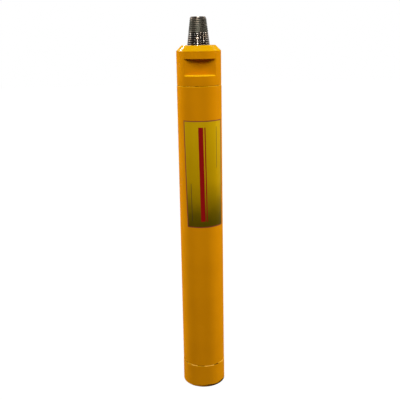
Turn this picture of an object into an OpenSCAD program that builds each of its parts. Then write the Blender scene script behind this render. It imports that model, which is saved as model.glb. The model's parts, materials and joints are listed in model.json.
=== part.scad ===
// Down-the-hole hammer, 5 inch class, without its bit.
// It stands on the lower face of the drive chuck with the pin upwards: the
// axis is Z and z = 0 is the chuck face. Every height is stacked from there.

/* [Piston case] */
// Outside diameter of the piston case
case_d = 125; // [120:0.5:130]
// Wall of the case at the thread of each end
case_wall = 10.5; // [9.5:0.25:12.5]
// Radial step from that thread in to the seat at each end
thread_step = 1.5; // [1:0.25:2]
// Radial step from that seat in to the bore that the piston runs in
seat_step = 1.5; // [1:0.25:2]
// Chamfer on each outer edge where two outer pieces meet
joint_chamfer = 1.5; // [0.5:0.25:2.5]

/* [Drive chuck] */
// How far the chuck stands out beyond the case all round
chuck_step = 0.5; // [-1.5:0.25:3.5]
// Height of the chuck that stands below the case
chuck_flange_h = 70.5; // [55:0.5:90]
// Height of the chuck that screws into the case
chuck_spigot_h = 80; // [65:1:100]
// Chamfer on the lower outer edge
chuck_edge = 2; // [0.5:0.25:4]
// Number of drive splines
spline_count = 12; // [8:1:14]
// Wall of the chuck outside the roots of the splines
chuck_wall = 6.3; // [4.8:0.1:7.3]
// Height of a spline from root to tip
spline_depth = 5.5; // [4:0.25:6.5]
// Width of the groove between two splines
spline_groove_w = 10.5; // [8:0.25:12]
// Depth of the plain mouth below the splines
mouth_h = 16; // [10:0.5:30]
// Radial room of the mouth outside the spline roots
mouth_margin = 1; // [0.5:0.25:2]

/* [Bit retention] */
// Height of the split ring that holds the bit
ring_h = 26; // [20:0.5:34]
// Radial width of the split ring
ring_w = 14.3; // [13.8:0.1:16.3]
// Gap between the two halves of the ring
ring_split = 2; // [1:0.25:4]
// Height of the guide bush
bush_h = 50; // [42:0.5:65]
// Wall of the guide bush
bush_wall = 11.8; // [10.3:0.1:13.3]

/* [Snap rings] */
// Height of a snap ring
snap_h = 6; // [4:0.25:8]
// Radial width of a snap ring
snap_w = 4.5; // [4:0.25:5.5]
// Depth of its groove below the case bore
snap_groove = 2.2; // [1.5:0.1:3]
// Open gap of a snap ring
snap_opening = 14; // [8:0.5:20]
// Land of the case between the guide bush and the piston retainer
retainer_land = 6; // [4:0.5:12]

/* [Piston] */
// Height of the striking nose below the shoulder
nose_h = 50; // [35:0.5:54]
// Height of the large body
body_h = 212; // [180:1:240]
// Height of the stem above the body
stem_h = 174; // [164:1:200]
// Height of the upper and the lower land of the body
land_h = 62; // [40:1:75]
// Depth of the waist between the two lands
waist_depth = 2.5; // [1:0.25:5]
// Number of air slots in the upper land
slot_count = 4; // [3:1:6]
// Width of an air slot
slot_w = 18; // [12:0.5:24]
// Depth of an air slot
slot_depth = 5; // [3:0.25:7]
// Bore for the exhaust tube of the bit
exhaust_d = 38; // [35:0.5:44]
// Depth of that bore
exhaust_h = 90; // [60:1:120]
// Diameter of the air ports in the stem
stem_port_d = 10; // [6:0.5:14]
// Travel from the piston retainer to the top of the stroke
piston_travel = 140; // [110:1:146]
// Room left above the piston at the top of its travel
end_room = 8; // [4:0.5:15]

/* [Inner cylinder] */
// Radial room for air between the inner cylinder and the case
annulus_w = 4.35; // [2.9:0.05:6.3]
// Wall of the inner cylinder
cylinder_wall = 6.5; // [5:0.25:7]
// Height of the seating band at each end
band_h = 10; // [6:0.5:11]
// Diameter of the feed ports in its wall
feed_port_d = 12; // [8:0.5:14]
// Height of the lower row of ports above the lower end
feed_port_z = 36; // [28:1:60]

/* [Air distributor] */
// Diameter of the probe that enters the piston
probe_d = 30; // [26:0.5:33]
// Length of the probe
probe_h = 272; // [230:1:300]
// Passage through the probe
passage_d = 12; // [8:0.5:14]
// Height of the plug that closes the inner cylinder
plug_h = 36; // [34:0.5:46]
// Height of the flange that sits on the inner cylinder
flange_h = 14; // [10:0.5:20]
// Number of air ports
port_count = 6; // [4:1:8]
// Diameter of an air port
port_d = 10; // [7:0.5:11]
// Wall between the air ports and the outside of the plug
port_wall = 5.3; // [4.5:0.1:7]
// Height of the valve guide above the flange
guide_h = 32; // [26:0.5:40]
// Wall of the valve guide
guide_wall = 3.5; // [2.5:0.25:4]
// Diameter of the choke plug
choke_d = 18; // [15:0.5:19]
// Height of the choke plug
choke_h = 10; // [8:0.5:12]
// Orifice of the choke plug
choke_orifice_d = 4; // [2:0.5:8]

/* [Make-up rings] */
// Radial width of the buffer ring and the make-up ring
makeup_w = 10.3; // [8.3:0.1:12.3]
// Height of the elastic buffer ring
buffer_h = 6; // [4:0.5:10]
// Height of the steel make-up ring
makeup_h = 8; // [5:0.5:12]

/* [Check valve] */
// Height of the skirt that slides in the guide
skirt_h = 30; // [24:0.5:36]
// Wall of the skirt
skirt_wall = 4.5; // [3.5:0.25:5]
// How far the head stands out beyond the skirt all round
head_lip = 4; // [3:0.25:7]
// Diameter of the flat tip
tip_d = 26; // [20:0.5:27]
// Travel from closed to open
valve_travel = 14; // [8:0.5:16]
// Wire of the return spring
wire_d = 3.2; // [2.5:0.1:3.6]
// Turns of the return spring
spring_turns = 7; // [5:0.5:9]

/* [Backhead] */
// How far the backhead stands back from the case all round
backhead_step = 0.5; // [-2.5:0.25:2.5]
// Height that screws into the case
backhead_spigot_h = 70; // [66:1:90]
// Round collar between the case and the wrench flats
collar_h = 30; // [20:0.5:40]
// Height of the wrench flats
flat_h = 42.5; // [30:0.5:60]
// Distance across the wrench flats
across_flats = 89; // [80:0.5:100]
// Chamfer on the outer edge of the ledge below each flat
ledge_chamfer = 3; // [0.5:0.25:5]
// Round neck above the wrench flats
neck_h = 20.5; // [14:0.5:40]
// Height of the conical top of the backhead
cone_h = 15; // [8:0.5:25]
// Diameter of the shoulder that the drill pipe seats on
shoulder_d = 94; // [84:0.5:104]
// Diameter of the tapered pin at the shoulder
pin_base_d = 66.7; // [60:0.1:70]
// Length of the tapered pin
pin_h = 76; // [60:0.5:90]
// Taper of the pin on its diameter
pin_taper = 0.25; // [0.167:0.001:0.27]
// Bore of the air inlet
inlet_d = 28; // [22:0.5:30]
// Wall round the valve chamber in the lower end
chamber_wall = 11.3; // [9.3:0.1:15.3]

/* [Seals and fits] */
// Cord of the seals against the case
case_seal_d = 4; // [3:0.1:5]
// Cord of the seals inside the distributor and on the valve
inner_seal_d = 3; // [2.4:0.1:3.4]
// Radial gap of pieces that are fixed in each other
fit_gap = 0.2; // [0.1:0.05:0.3]
// Radial gap of pieces that slide in each other
slide_gap = 0.15; // [0.08:0.01:0.25]
// Gap left where a moving piece comes to rest on its seat
rest_gap = 0.3; // [0.2:0.05:0.5]
// Small chamfer on inner and machined edges
small_edge = 1; // [0.5:0.25:1.5]

/* [Hidden] */
$fn = 128;

// Radii of the outer pieces, and of the case from the outside in
case_r = case_d / 2;
chuck_r = case_r + chuck_step;
backhead_r = case_r - backhead_step;
thread_r = case_r - case_wall;
seat_r = thread_r - thread_step;
bore_r = seat_r - seat_step;
snap_groove_r = bore_r + snap_groove;

// Radii of what screws into, seats in or slides in the case
spigot_r = thread_r - fit_gap;
pilot_r = seat_r - fit_gap;
relief_r = pilot_r - small_edge;
snap_r = snap_groove_r - fit_gap;
piston_r = bore_r - slide_gap;

// Radii of the chuck, the rings and the bush, from those seats in
spline_root_r = relief_r - chuck_wall;
spline_tip_r = spline_root_r - spline_depth;
mouth_r = spline_root_r + mouth_margin;
ring_bore_r = pilot_r - ring_w;
bush_bore_r = pilot_r - bush_wall;
nose_r = bush_bore_r - rest_gap;
makeup_bore_r = pilot_r - makeup_w;
chamber_r = relief_r - chamber_wall;

// Radii of the inner cylinder and what works in it, from the outside in
sleeve_r = seat_r - annulus_w;
cylinder_bore_r = sleeve_r - cylinder_wall;
stem_r = cylinder_bore_r - slide_gap;
plug_r = cylinder_bore_r - fit_gap;
port_circle_r = plug_r - port_wall - port_d / 2;
guide_r = port_circle_r - port_d / 2 - small_edge / 2;
guide_bore_r = guide_r - guide_wall;
skirt_r = guide_bore_r - slide_gap;
head_r = skirt_r + head_lip;
probe_r = probe_d / 2;
piston_bore_r = probe_r + slide_gap;

// Heights and lengths that several pieces share
relief_h = 9;
pilot_h = 16;
seal_gap = 0.05;
// How far a cut runs past the face that it opens, and the size of a cut that has no end
over = 1;
big = 400;

// Heights from the chuck face up to the piston
lower_joint_z = chuck_flange_h;
chuck_top_z = lower_joint_z + chuck_spigot_h;
ring_top_z = chuck_top_z + ring_h;
bush_top_z = ring_top_z + bush_h;
retainer_z = bush_top_z + retainer_land;
retainer_top_z = retainer_z + snap_h;

// Heights of the piston at rest on its retainer
shoulder_z = retainer_top_z + rest_gap;
nose_z = shoulder_z - nose_h;
body_top_z = shoulder_z + body_h;
stem_top_z = body_top_z + stem_h;
exhaust_top_z = nose_z + exhaust_h;

// Heights of the inner cylinder and the distributor, set by the piston at the top of its travel
stop_z = body_top_z + piston_travel + end_room;
cylinder_z = stop_z + snap_h;
plug_z = stem_top_z + piston_travel + end_room;
cylinder_top_z = plug_z + plug_h;
flange_top_z = cylinder_top_z + flange_h;
guide_top_z = flange_top_z + guide_h;
port_z = plug_z + plug_h / 2;
port_turn = 90 / port_count;
buffer_top_z = flange_top_z + buffer_h;
makeup_top_z = buffer_top_z + makeup_h;

// Heights of the check valve when it is closed
valve_lift_room = 2;
rim_h = 4;
head_z = guide_top_z + valve_travel + valve_lift_room;
rim_top_z = head_z + rim_h;
tip_r = tip_d / 2;
tip_z = rim_top_z + head_r - tip_r;
skirt_z = head_z - skirt_h;
pocket_r = skirt_r - skirt_wall;
pocket_top_z = head_z - rim_h;
spring_z = cylinder_top_z;
spring_r = pocket_r - wire_d / 2 - small_edge;

// The seal stands out of the 45 degree cone of the valve and stops short of the seat in the backhead
seal_cord_r = inner_seal_d / 2;
seal_proud = 0.7;
seal_depth = (seal_cord_r - seal_proud) / sqrt(2);
seal_r = (head_r + tip_r) / 2 - seal_depth;
seal_z = (rim_top_z + tip_z) / 2 - seal_depth;
seat_lift = (seal_proud + rest_gap) * sqrt(2);

// Heights of the backhead
upper_joint_z = makeup_top_z + backhead_spigot_h;
flat_z = upper_joint_z + collar_h;
flat_top_z = flat_z + flat_h;
cone_z = flat_top_z + neck_h;
pin_z = cone_z + cone_h;
pin_top_z = pin_z + pin_h;
pin_base_r = pin_base_d / 2;
pin_top_r = pin_base_r - pin_h * pin_taper / 2;
pin_bevel_h = 6;
inlet_r = inlet_d / 2;
seat_out_r = head_r + small_edge;
// Height at which the seat cone, 45 degrees, has a given radius
function seat_at(r) = rim_top_z + seat_lift + head_r - r;

// Solid of revolution about Z from an outline of [radius, height] points
module turned(outline) {
    rotate_extrude() polygon(outline);
}

// Plain ring with the same chamfer on its four edges
module ring(inner_r, outer_r, low, high, edge) {
    turned([
        [inner_r, low + edge], [inner_r + edge, low], [outer_r - edge, low], [outer_r, low + edge],
        [outer_r, high - edge], [outer_r - edge, high], [inner_r + edge, high], [inner_r, high - edge]
    ]);
}

// Round cord that seals against an outer wall of radius wall_r
module o_ring(wall_r, cord_d, height) {
    rotate_extrude()
        translate([wall_r - seal_gap - cord_d / 2, height]) circle(d = cord_d);
}

// What is cut away for that cord: a square groove open to the outside
module o_ring_groove(wall_r, cord_d, height) {
    floor_r = wall_r - cord_d - 2 * seal_gap;
    width = 1.3 * cord_d;
    ring(floor_r, wall_r + small_edge, height - width / 2, height + width / 2, 0);
}

// Evenly spaced radial holes through a wall between two radii
module radial_holes(count, hole_d, wall_in_r, wall_out_r, height, turn) {
    for (i = [0 : count - 1])
        rotate(turn + i * 360 / count)
            translate([wall_in_r - hole_d / 2, 0, height]) rotate([0, 90, 0])
                cylinder(d = hole_d, h = wall_out_r - wall_in_r + hole_d);
}

// Open spring ring that snaps into a groove of the case
module snap_ring(low) {
    difference() {
        ring(snap_r - snap_w, snap_r, low, low + snap_h, small_edge / 2);
        translate([0, -snap_opening / 2, low - over]) cube([big, snap_opening, snap_h + 2 * over]);
    }
}

module drive_chuck() {
    thread_z = lower_joint_z + relief_h;
    pilot_z = chuck_top_z - pilot_h;
    color("goldenrod") difference() {
        turned([
            [spline_tip_r, 0], [chuck_r - chuck_edge, 0], [chuck_r, chuck_edge],
            [chuck_r, lower_joint_z - joint_chamfer], [chuck_r - joint_chamfer, lower_joint_z],
            [relief_r, lower_joint_z], [relief_r, thread_z],
            [spigot_r, thread_z + spigot_r - relief_r], [spigot_r, pilot_z - spigot_r + pilot_r],
            [pilot_r, pilot_z], [pilot_r, chuck_top_z - small_edge], [pilot_r - small_edge, chuck_top_z],
            [spline_tip_r + small_edge, chuck_top_z], [spline_tip_r, chuck_top_z - small_edge]
        ]);
        // Plain mouth for the shank, with a lead-in
        translate([0, 0, -over]) cylinder(r = mouth_r, h = mouth_h + over);
        translate([0, 0, -over])
            cylinder(r1 = mouth_r + small_edge + over, r2 = mouth_r, h = small_edge + over);
        // Grooves between the splines
        intersection() {
            translate([0, 0, mouth_h - over]) cylinder(r = spline_root_r, h = chuck_top_z);
            for (i = [0 : spline_count - 1])
                rotate(i * 360 / spline_count)
                    translate([0, -spline_groove_w / 2, mouth_h - over])
                        cube([big, spline_groove_w, chuck_top_z]);
        }
    }
}

// One half of the split ring: side 1 lies towards +X and side -1 towards -X
module bit_retaining_half(side) {
    color("dimgray") difference() {
        ring(ring_bore_r, pilot_r, chuck_top_z, ring_top_z, small_edge);
        o_ring_groove(seat_r, case_seal_d, (chuck_top_z + ring_top_z) / 2);
        translate([side > 0 ? ring_split / 2 - big : -ring_split / 2, -big / 2, chuck_top_z - over])
            cube([big, big, ring_h + 2 * over]);
    }
}

module bit_retaining_o_ring() {
    color("black") o_ring(seat_r, case_seal_d, (chuck_top_z + ring_top_z) / 2);
}

module guide_bush() {
    lead_in = 3;
    seal_z0 = (ring_top_z + bush_top_z) / 2;
    color("gray") difference() {
        turned([
            [bush_bore_r + lead_in, ring_top_z], [pilot_r - small_edge, ring_top_z],
            [pilot_r, ring_top_z + small_edge], [pilot_r, bush_top_z - small_edge],
            [pilot_r - small_edge, bush_top_z], [bush_bore_r + small_edge, bush_top_z],
            [bush_bore_r, bush_top_z - small_edge], [bush_bore_r, ring_top_z + lead_in]
        ]);
        o_ring_groove(seat_r, case_seal_d, seal_z0);
    }
}

module guide_bush_o_ring() {
    color("black") o_ring(seat_r, case_seal_d, (ring_top_z + bush_top_z) / 2);
}

module piston_retainer() {
    color("slategray") snap_ring(retainer_z);
}

module cylinder_stop_ring() {
    color("slategray") snap_ring(stop_z);
}

module piston_case() {
    lower_thread_end = chuck_top_z - pilot_h;
    upper_thread_end = makeup_top_z + pilot_h;
    color("orange") difference() {
        turned([
            [thread_r, lower_joint_z], [case_r - joint_chamfer, lower_joint_z],
            [case_r, lower_joint_z + joint_chamfer], [case_r, upper_joint_z - joint_chamfer],
            [case_r - joint_chamfer, upper_joint_z], [thread_r, upper_joint_z],
            [thread_r, upper_thread_end + thread_step], [seat_r, upper_thread_end],
            [seat_r, cylinder_z], [bore_r, cylinder_z],
            [bore_r, bush_top_z], [seat_r, bush_top_z],
            [seat_r, lower_thread_end], [thread_r, lower_thread_end - thread_step]
        ]);
        ring(bore_r - over, snap_groove_r, retainer_z, retainer_top_z, 0);
        ring(bore_r - over, snap_groove_r, stop_z, cylinder_z, 0);
    }
}

module piston() {
    edge = 2;
    labyrinth_w = 2;
    labyrinth_depth = 1;
    labyrinth_count = 3;
    waist_r = piston_r - waist_depth;
    waist_z = shoulder_z + land_h;
    waist_top_z = body_top_z - land_h;
    stem_port_z = body_top_z + 2 * stem_port_d;
    color("lightslategray") difference() {
        turned([
            [exhaust_d / 2, nose_z], [nose_r - edge, nose_z], [nose_r, nose_z + edge],
            [nose_r, shoulder_z], [piston_r - small_edge, shoulder_z],
            [piston_r, shoulder_z + small_edge],
            [piston_r, waist_z], [waist_r, waist_z + waist_depth],
            [waist_r, waist_top_z - waist_depth], [piston_r, waist_top_z],
            [piston_r, body_top_z - edge], [piston_r - edge, body_top_z],
            [stem_r, body_top_z], [stem_r, stem_top_z - edge], [stem_r - edge, stem_top_z],
            [piston_bore_r + small_edge, stem_top_z], [piston_bore_r, stem_top_z - small_edge],
            [piston_bore_r, exhaust_top_z + exhaust_d / 2 - piston_bore_r],
            [exhaust_d / 2, exhaust_top_z]
        ]);
        // Air slots milled through the upper land
        for (i = [0 : slot_count - 1])
            rotate(i * 360 / slot_count)
                translate([piston_r - slot_depth, -slot_w / 2, waist_top_z - waist_depth - over])
                    cube([big, slot_w, land_h + waist_depth + 2 * over]);
        // Ports through the stem and sealing grooves round its upper end
        radial_holes(slot_count, stem_port_d, piston_bore_r, stem_r, stem_port_z, 180 / slot_count);
        for (i = [1 : labyrinth_count])
            ring(stem_r - labyrinth_depth, stem_r + over,
                 stem_top_z - edge - i * 4 * labyrinth_w, stem_top_z - edge - (i * 4 - 1) * labyrinth_w, 0);
    }
}

module inner_cylinder() {
    color("gray") difference() {
        turned([
            [cylinder_bore_r + small_edge, cylinder_z], [pilot_r - small_edge, cylinder_z],
            [pilot_r, cylinder_z + small_edge], [pilot_r, cylinder_z + band_h],
            [sleeve_r, cylinder_z + band_h], [sleeve_r, cylinder_top_z - band_h],
            [pilot_r, cylinder_top_z - band_h], [pilot_r, cylinder_top_z - small_edge],
            [pilot_r - small_edge, cylinder_top_z], [cylinder_bore_r + small_edge, cylinder_top_z],
            [cylinder_bore_r, cylinder_top_z - small_edge], [cylinder_bore_r, cylinder_z + small_edge]
        ]);
        radial_holes(port_count, feed_port_d, cylinder_bore_r, sleeve_r, port_z, port_turn);
        radial_holes(port_count, feed_port_d, cylinder_bore_r, sleeve_r, cylinder_z + feed_port_z,
                     port_turn + 180 / port_count);
    }
}

module air_distributor() {
    passage_r = passage_d / 2;
    choke_seat_r = choke_d / 2 + seal_gap;
    choke_z = cylinder_top_z - choke_h;
    color("darkgray") difference() {
        turned([
            [passage_r, plug_z - probe_h], [probe_r - small_edge, plug_z - probe_h],
            [probe_r, plug_z - probe_h + small_edge], [probe_r, plug_z],
            [plug_r - small_edge, plug_z], [plug_r, plug_z + small_edge], [plug_r, cylinder_top_z],
            [pilot_r - small_edge, cylinder_top_z], [pilot_r, cylinder_top_z + small_edge],
            [pilot_r, flange_top_z - small_edge], [pilot_r - small_edge, flange_top_z],
            [guide_r, flange_top_z], [guide_r, guide_top_z - small_edge],
            [guide_r - small_edge, guide_top_z], [guide_bore_r + small_edge, guide_top_z],
            [guide_bore_r, guide_top_z - small_edge], [guide_bore_r, cylinder_top_z],
            [choke_seat_r, cylinder_top_z], [choke_seat_r, choke_z], [passage_r, choke_z]
        ]);
        // Air goes down beside the valve guide, then out through the wall of the plug
        for (i = [0 : port_count - 1])
            rotate(port_turn + i * 360 / port_count) {
                translate([port_circle_r, 0, port_z]) cylinder(d = port_d, h = big);
                translate([port_circle_r, 0, port_z]) rotate([0, 90, 0])
                    cylinder(d = port_d, h = plug_r);
            }
        for (height = distributor_seals())
            o_ring_groove(cylinder_bore_r, inner_seal_d, height);
    }
}

// Heights of the seals above and below the ports of the plug
function distributor_seals() =
    [port_z - feed_port_d / 2 - 2 * inner_seal_d, port_z + feed_port_d / 2 + 2 * inner_seal_d];

module distributor_o_rings() {
    color("black") for (height = distributor_seals())
        o_ring(cylinder_bore_r, inner_seal_d, height);
}

module choke_plug() {
    plug_edge = small_edge / 2;
    low = cylinder_top_z - choke_h;
    color("sienna") difference() {
        ring(choke_orifice_d / 2, choke_d / 2, low, cylinder_top_z, plug_edge);
        o_ring_groove(choke_d / 2 + seal_gap, inner_seal_d, low + choke_h / 2);
    }
}

module choke_o_ring() {
    color("black")
        o_ring(choke_d / 2 + seal_gap, inner_seal_d, cylinder_top_z - choke_h / 2);
}

module buffer_ring() {
    color("darkred")
        ring(makeup_bore_r, pilot_r, flange_top_z, buffer_top_z, small_edge);
}

module makeup_ring() {
    color("dimgray")
        ring(makeup_bore_r, pilot_r, buffer_top_z, makeup_top_z, small_edge);
}

module check_valve() {
    color("darkslategray") difference() {
        turned([
            [0, tip_z], [tip_r, tip_z], [head_r, rim_top_z], [head_r, head_z],
            [skirt_r, head_z], [skirt_r, skirt_z + small_edge], [skirt_r - small_edge, skirt_z],
            [pocket_r + small_edge, skirt_z], [pocket_r, skirt_z + small_edge],
            [pocket_r, pocket_top_z], [0, pocket_top_z]
        ]);
        rotate_extrude() translate([seal_r, seal_z]) circle(r = seal_cord_r + seal_gap);
    }
}

module check_valve_seal() {
    color("black") rotate_extrude() translate([seal_r, seal_z]) circle(r = seal_cord_r);
}

// Return spring: a round wire on a helix, with one closed turn at each end
module check_valve_spring() {
    sides = 8;
    steps_per_turn = 20;
    closed_turns = 1;
    steps = spring_turns * steps_per_turn;
    height = pocket_top_z - spring_z - 2 * rest_gap;
    closed_pitch = wire_d + seal_gap;
    open_pitch = (height - wire_d - 2 * closed_turns * closed_pitch) / (spring_turns - 2 * closed_turns);
    function rise(turn) =
        min(turn, closed_turns) * closed_pitch
        + max(0, min(turn, spring_turns - closed_turns) - closed_turns) * open_pitch
        + max(0, turn - spring_turns + closed_turns) * closed_pitch;
    function wire_point(step, side) =
        let (turn = step / steps_per_turn, a = 360 * turn, b = 360 * side / sides)
        let (r = spring_r + wire_d / 2 * cos(b))
        [r * cos(a), r * sin(a), spring_z + rest_gap + wire_d / 2 + rise(turn) + wire_d / 2 * sin(b)];
    points = [for (step = [0 : steps], side = [0 : sides - 1]) wire_point(step, side)];
    skin = [
        for (step = [0 : steps - 1], side = [0 : sides - 1])
            let (next = (side + 1) % sides, here = step * sides, there = here + sides)
            each [
                [here + side, here + next, there + side],
                [here + next, there + next, there + side]
            ]
    ];
    first_end = [[for (side = [sides - 1 : -1 : 0]) side]];
    last_end = [[for (side = [0 : sides - 1]) steps * sides + side]];
    color("silver") polyhedron(points, concat(skin, first_end, last_end));
}

// What lies outside the planes of the two wrench flats, which face -Y and +Y, between two heights
module beyond_flats(low, high) {
    for (side = [0, 180])
        rotate(side) translate([-big / 2, across_flats / 2, low]) cube([big, big, high - low]);
}

module backhead() {
    thread_low = makeup_top_z + pilot_h;
    thread_high = upper_joint_z - relief_h;
    bevel_r = pin_top_r - pin_bevel_h / 2;
    bevel_z = pin_top_z - pin_bevel_h;
    color("goldenrod") difference() {
        turned([
            [inlet_r + small_edge, pin_top_z], [bevel_r, pin_top_z],
            [pin_top_r + pin_bevel_h * pin_taper / 2, bevel_z], [pin_base_r, pin_z],
            [shoulder_d / 2, pin_z], [backhead_r, cone_z], [backhead_r, upper_joint_z + joint_chamfer],
            [backhead_r - joint_chamfer, upper_joint_z], [relief_r, upper_joint_z],
            [relief_r, thread_high], [spigot_r, thread_high - spigot_r + relief_r],
            [spigot_r, thread_low + spigot_r - pilot_r], [pilot_r, thread_low],
            [pilot_r, makeup_top_z + small_edge], [pilot_r - small_edge, makeup_top_z],
            [chamber_r + small_edge, makeup_top_z], [chamber_r, makeup_top_z + small_edge],
            [chamber_r, seat_at(seat_out_r)], [seat_out_r, seat_at(seat_out_r)],
            [inlet_r, seat_at(inlet_r)], [inlet_r, pin_top_z - small_edge]
        ]);
        beyond_flats(flat_z, flat_top_z);
        // The chamfer of each ledge is a 45 degree cone that ends at the plane of the flat
        intersection() {
            beyond_flats(flat_z - ledge_chamfer - over, flat_z + over);
            turned([
                [backhead_r - ledge_chamfer - over, flat_z + over],
                [backhead_r + over, flat_z - ledge_chamfer - over], [backhead_r + over, flat_z + over]
            ]);
        }
        o_ring_groove(seat_r, case_seal_d, makeup_top_z + pilot_h / 2);
    }
}

module backhead_o_ring() {
    color("black") o_ring(seat_r, case_seal_d, makeup_top_z + pilot_h / 2);
}

backhead();
backhead_o_ring();
check_valve();
check_valve_seal();
check_valve_spring();
makeup_ring();
buffer_ring();
air_distributor();
distributor_o_rings();
choke_plug();
choke_o_ring();
inner_cylinder();
cylinder_stop_ring();
piston_case();
piston();
piston_retainer();
guide_bush();
guide_bush_o_ring();
bit_retaining_half(-1);  // bit_retaining_half_left
bit_retaining_half(1);  // bit_retaining_half_right
bit_retaining_o_ring();
drive_chuck();
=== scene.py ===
"""Looks of a down-the-hole hammer: a yellow steel cylinder on its drive chuck, with a bare threaded pin.

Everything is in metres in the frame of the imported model: the hammer's axis is Z, and z = 0 is the chuck's
lower face. An azimuth is an angle about Z, counted from -Y, where the front wrench flat faces, towards +X.
"""
import json
import math

import bpy
import numpy as np
from mathutils import Matrix, Vector


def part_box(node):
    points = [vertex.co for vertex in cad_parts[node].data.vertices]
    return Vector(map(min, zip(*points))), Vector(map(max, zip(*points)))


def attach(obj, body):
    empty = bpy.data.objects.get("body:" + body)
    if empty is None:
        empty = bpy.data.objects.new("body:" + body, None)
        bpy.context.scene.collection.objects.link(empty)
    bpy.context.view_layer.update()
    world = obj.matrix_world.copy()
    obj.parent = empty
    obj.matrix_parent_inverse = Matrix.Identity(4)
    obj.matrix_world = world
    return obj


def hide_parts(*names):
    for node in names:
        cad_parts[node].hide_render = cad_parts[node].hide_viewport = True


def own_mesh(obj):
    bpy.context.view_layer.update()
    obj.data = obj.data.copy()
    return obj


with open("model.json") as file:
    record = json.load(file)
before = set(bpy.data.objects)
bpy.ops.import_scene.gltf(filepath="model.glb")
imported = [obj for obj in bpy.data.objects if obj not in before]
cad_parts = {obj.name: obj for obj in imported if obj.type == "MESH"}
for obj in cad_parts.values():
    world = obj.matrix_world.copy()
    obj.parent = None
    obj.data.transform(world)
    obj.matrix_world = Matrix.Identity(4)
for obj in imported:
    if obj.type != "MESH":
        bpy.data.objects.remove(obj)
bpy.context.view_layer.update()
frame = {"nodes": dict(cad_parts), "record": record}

MM = 0.001
TURN = 2 * math.pi

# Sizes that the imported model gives: the boxes of its nodes and the places of its mounts
mounts = {mount["name"]: mount for mount in frame["record"]["mounts"]}
chuck_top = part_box("drive_chuck")[1].z
chuck_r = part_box("drive_chuck")[1].x
lower_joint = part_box("piston_case")[0].z
upper_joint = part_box("piston_case")[1].z
case_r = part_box("piston_case")[1].x
bush_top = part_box("guide_bush")[1].z
cylinder_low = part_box("inner_cylinder")[0].z
spigot_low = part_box("backhead")[0].z
pin_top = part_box("backhead")[1].z
backhead_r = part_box("backhead")[1].x
shoulder = mounts["pin_shoulder"]["pos_m"][2]
inlet_r = mounts["air_inlet"]["dims"]["r_mm"] * MM
mouth_r = mounts["bit_mouth"]["dims"]["r_mm"] * MM
flat_half = mounts["wrench_flat_back"]["pos_m"][1]
flat_middle = mounts["wrench_flat_back"]["pos_m"][2]
spring_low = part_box("check_valve_spring")[0].z
spring_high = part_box("check_valve_spring")[1].z
spring_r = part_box("check_valve_spring")[1].x

# Sizes of the turned forms that no box gives
bore_r = 49 * MM
seat_r = 50.5 * MM
thread_bore_r = 52 * MM
spigot_r = 51.8 * MM
pilot_r = 50.3 * MM
relief_r = 49.3 * MM
relief_h = 9 * MM
pilot_h = 16 * MM
joint_chamfer = 1.5 * MM
soft_edge = 0.45 * MM
sharp_edge = 0.2 * MM
chuck_edge = 2 * MM
mouth_h = 16 * MM
spline_tip_r = 37.5 * MM
spline_root_r = 43 * MM
spline_groove = 10.5 * MM
spline_count = 12
flat_h = 42.5 * MM
lower_ledge_chamfer = 3 * MM
upper_ledge_chamfer = 0.6 * MM
cone_h = 15 * MM
shoulder_r = 47 * MM
chamber_r = 38 * MM
seat_out_r = 25 * MM
seat_rise = 49.4 * MM
seat_z = inlet_r + spigot_low + seat_rise
pin_base_r = 33.35 * MM
pin_taper = 0.125
thread_pitch = 5.08 * MM
thread_depth = 2.9 * MM
pin_nose_h = 8 * MM
wire_d = 3.2 * MM
spring_turns = 7


# Surfaces

def fillet(before, corner, after, radius, steps):
    """Arc that rounds a corner: it touches both straight sides at radius / tan(half the angle between them),
    and its points are spread evenly in angle about a centre on the corner's bisector."""
    a = (before - corner) / np.linalg.norm(before - corner)
    b = (after - corner) / np.linalg.norm(after - corner)
    half = math.acos(np.clip(a @ b, -1, 1)) / 2
    reach = radius / math.tan(half)
    middle = corner + (a + b) / np.linalg.norm(a + b) * radius / math.sin(half)
    start, end = corner + a * reach - middle, corner + b * reach - middle
    sweep = math.pi - 2 * half
    t = np.linspace(0, 1, steps + 1)[:, None]
    return middle + (np.sin((1 - t) * sweep) * start + np.sin(t * sweep) * end) / math.sin(sweep)


def rounded_outline(corners, radii, steps=4, support=1.2 * MM):
    """Closed outline of (radius, height) points: each corner is an arc of its own radius, and each long
    straight side gets a point near either end, which keeps its shading apart from that of the arcs."""
    corners = np.array(corners, float)
    arcs = [
        fillet(corners[i - 1], corners[i], corners[(i + 1) % len(corners)], radius, steps)
        for i, radius in enumerate(radii)
    ]
    points = np.concatenate(arcs)
    ahead = np.roll(points, -1, axis=0) - points
    length = np.linalg.norm(ahead, axis=1)
    is_long = np.flatnonzero(length > 3 * support)
    step = ahead[is_long] / length[is_long, None] * support
    near = points[is_long] + step
    far = np.roll(points, -1, axis=0)[is_long] - step
    places = np.repeat(is_long + 1, 2)
    return np.insert(points, places, np.stack([near, far], axis=1).reshape(-1, 2), axis=0)


def angles(count, extra=()):
    """Evenly spread angles of one turn, with extra ones put in where an edge has to lie on a grid line."""
    even = np.arange(count) * TURN / count
    extra = np.mod(np.array(extra, float), TURN)
    gap = TURN / count / 3
    apart = np.abs((even[:, None] - extra[None, :] + math.pi) % TURN - math.pi)
    return np.sort(np.concatenate([even[(apart > gap).all(axis=1)], extra]))


def lathe(outline, theta):
    """Grid of a turned form: point (r, z) of the outline at angle t lies at (r cos t, r sin t, z)."""
    r, z = outline[:, 0][:, None], outline[:, 1][:, None]
    return np.stack([r * np.cos(theta), r * np.sin(theta), z + 0 * theta], axis=-1)


def from_axis(grid):
    """Distance of each point from the hammer's axis."""
    return np.hypot(grid[..., 0], grid[..., 1])


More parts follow.
